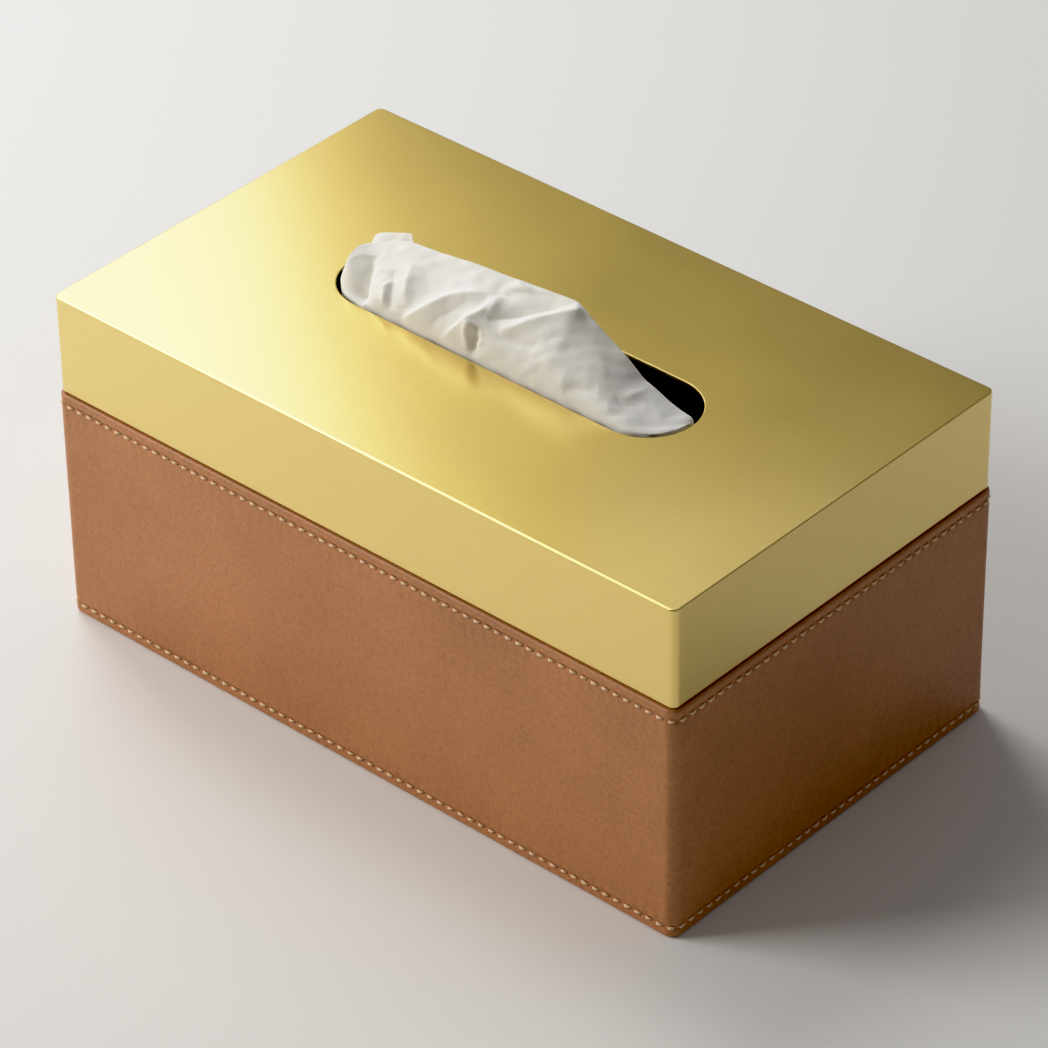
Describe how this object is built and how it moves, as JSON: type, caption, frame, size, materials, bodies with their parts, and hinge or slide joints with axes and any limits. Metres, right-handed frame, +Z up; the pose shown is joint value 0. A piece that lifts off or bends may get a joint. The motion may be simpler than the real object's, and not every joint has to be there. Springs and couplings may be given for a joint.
{
  "type": "tissue box",
  "caption": "Rectangular tissue box: leather-wrapped lower box with contrast topstitching, lift-off brass lid with an obround slot, tissue drawn up through it.",
  "frame": {"origin": "middle of the underside, on the face that rests on the table", "axes": "+X along the box's length, -Y towards the front long side, +Z up"},
  "size_m": [0.2406, 0.1426, 0.137],
  "materials": {
    "satin_brass": "satin",
    "saddle_leather": "satin",
    "linen_thread": "matte",
    "fibreboard": "matte",
    "suede_covered_board": "matte",
    "black_felt": "matte",
    "suede_lining": "matte",
    "tissue_paper": "matte"
  },
  "bodies": {
    "box": {"front_board": "fibreboard", "back_board": "fibreboard", "left_board": "fibreboard", "right_board": "fibreboard", "floor_board": "fibreboard", "neck_front": "suede_covered_board", "neck_back": "suede_covered_board", "neck_left": "suede_covered_board", "neck_right": "suede_covered_board", "leather_sleeve": "saddle_leather", "top_seam_thread": "linen_thread", "bottom_seam_thread": "linen_thread", "base_felt": "black_felt", "floor_lining": "suede_lining", "tissue_stack": "tissue_paper"},
    "lid": {"lid_shell": "satin_brass", "lid_top_felt": "black_felt", "lid_liner_front": "suede_covered_board", "lid_liner_back": "suede_covered_board", "lid_liner_left": "suede_covered_board", "lid_liner_right": "suede_covered_board"},
    "tissue": {"pulled_tissue": "tissue_paper"}
  },
  "joints": [
    {"name": "lid_lift", "type": "slide", "parent": "box", "child": "lid", "axis": [0, 0, 1], "range_m": [0, 0.12]},
    {"name": "tissue_pull", "type": "slide", "parent": "box", "child": "tissue", "axis": [0, 0, 1], "range_m": [0, 0.12]}
  ]
}
